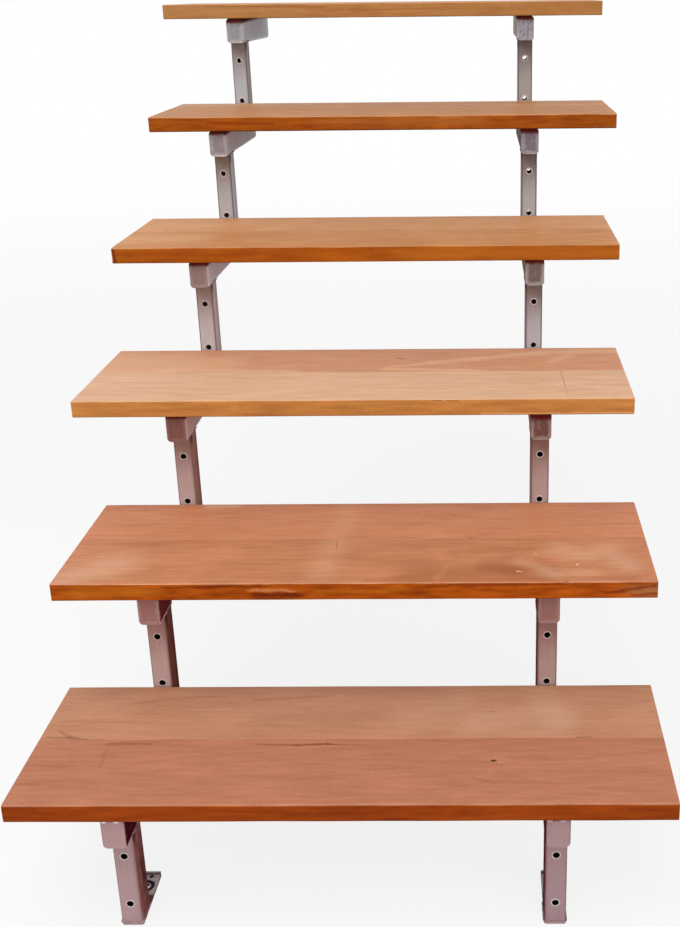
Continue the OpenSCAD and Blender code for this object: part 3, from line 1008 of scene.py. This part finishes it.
def make_rims(material):
    """Rims on both faces of every post, round both its holes."""
    for side, step in MODULES:
        low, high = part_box(f"{side}_post_{step}")

        def build(bm):
            for height in HOLE_HEIGHTS:
                for face, outward in ((low.y, -1), (high.y, 1)):
                    add_rim(bm, Vector(((low.x + high.x) / 2, face, seat(step) + height)), outward)

        name = f"{side}_post_{step}_hole_rims"
        add_piece(name, mesh_from(name, build), material)


def dress_steel():
    """Gives the CAD posts and foot plates their finish."""
    for side, step in MODULES:
        name = f"{side}_post_{step}"
        low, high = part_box(name)
        origin = ((low.x + high.x) / 2, (low.y + high.y) / 2, seat(step))
        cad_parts[name].material_slots[0].material = post_material(side, step, origin)
        if step == 1:
            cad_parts[f"{side}_foot_plate"].material_slots[0].material = foot_material(side, origin)


# -------- stage, light and camera

def seen_directly(graph):
    """1 for rays from the camera, mirrors and clear things, 0 for light."""
    rays = graph.tree.nodes.new("ShaderNodeLightPath").outputs
    seen = graph.larger(rays["Is Camera Ray"], rays["Is Glossy Ray"])
    return graph.larger(seen, rays["Is Transmission Ray"])


FLOOR_SIZE = 80
FLOOR_TONE = (0.86, 0.85, 0.84, 1)
# The floor turns into plain white between these distances from the origin
FLOOR_FADE = (1.5, 8.0)


def make_floor():
    """Pale floor that takes the stair's soft shadow and fades into the white surroundings."""
    bpy.ops.mesh.primitive_plane_add(size=FLOOR_SIZE, location=(0, 0, 0))
    floor = bpy.context.object
    floor.name = "floor"
    material, graph = new_material("floor_paint")
    diffuse = graph.node("ShaderNodeBsdfDiffuse", {"Color": FLOOR_TONE})
    glow = graph.node("ShaderNodeEmission", {"Color": (1, 1, 1, 1), "Strength": 1.0})
    away = graph.vector("LENGTH", graph.node("ShaderNodeTexCoord", output=3), output=1)
    lift = graph.fit(away, *FLOOR_FADE, 0.85, 1.0)
    shader = graph.node("ShaderNodeMixShader", {0: graph.times(seen_directly(graph), lift), 1: diffuse, 2: glow})
    graph.node("ShaderNodeOutputMaterial", {"Surface": shader})
    floor.data.materials.append(material)


def make_world():
    """Even surroundings: white where they are seen, softer as light."""
    world = bpy.data.worlds.new("studio")
    bpy.context.scene.world = world
    graph = Graph(world)
    white = graph.node("ShaderNodeBackground", {"Color": (1, 1, 1, 1), "Strength": 1.0})
    soft = graph.node("ShaderNodeBackground", {"Color": (1.0, 0.985, 0.97, 1), "Strength": 0.42})
    shader = graph.node("ShaderNodeMixShader", {0: seen_directly(graph), 1: soft, 2: white})
    graph.node("ShaderNodeOutputWorld", {"Surface": shader})


def add_lamp(name, place, target, size, power):
    """Square soft light at place that faces target, size metres wide."""
    data = bpy.data.lights.new(name, "AREA")
    data.shape = "SQUARE"
    data.size = size
    data.energy = power
    lamp = bpy.data.objects.new(name, data)
    bpy.context.scene.collection.objects.link(lamp)
    lamp.location = place
    lamp.rotation_euler = (Vector(target) - Vector(place)).to_track_quat("-Z", "Y").to_euler()


# Each lamp's place from the middle of the stair, its width in metres and its power in watts
LAMPS = {"overhead": ((-0.5, -1.6, 3.0), 2.6, 88), "front_fill": ((1.8, -3.2, 1.0), 2.4, 26)}


def make_lamps():
    """Soft lamps above and before the stair, aimed at its middle."""
    middle = (Vector(cad_box[0]) + Vector(cad_box[1])) / 2
    for name, (offset, size, power) in LAMPS.items():
        add_lamp(name, middle + Vector(offset), middle, size, power)


# The photo's camera, fitted to the corners of the treads. Its turn, tilt and roll are degrees.
CAMERA_PLACE = (0.5013, -1.3751, 1.2535)
CAMERA_ANGLES = ((0.578, "Z"), (90 - 19.61, "X"), (-0.564, "Z"))
CAMERA_LENS = 46.215
SENSOR_WIDTH = 36
CAMERA_SHIFT = (-0.1392, -0.0521)


def make_camera():
    """Stands before the foot of the flight, near its right side, and looks a little down."""
    data = bpy.data.cameras.new("camera")
    data.lens = CAMERA_LENS
    data.sensor_width = SENSOR_WIDTH
    data.shift_x, data.shift_y = CAMERA_SHIFT
    camera = bpy.data.objects.new("camera", data)
    bpy.context.scene.collection.objects.link(camera)
    pose = Matrix.Translation(CAMERA_PLACE)
    for angle, axis in CAMERA_ANGLES:
        pose @= Matrix.Rotation(math.radians(angle), 4, axis)
    camera.matrix_world = pose
    bpy.context.scene.camera = camera


make_boards()
make_arms()
dress_steel()
make_welds()
make_rims(rim_material())
make_floor()
make_world()
make_lamps()
make_camera()
bpy.context.scene.view_settings.view_transform = "Standard"
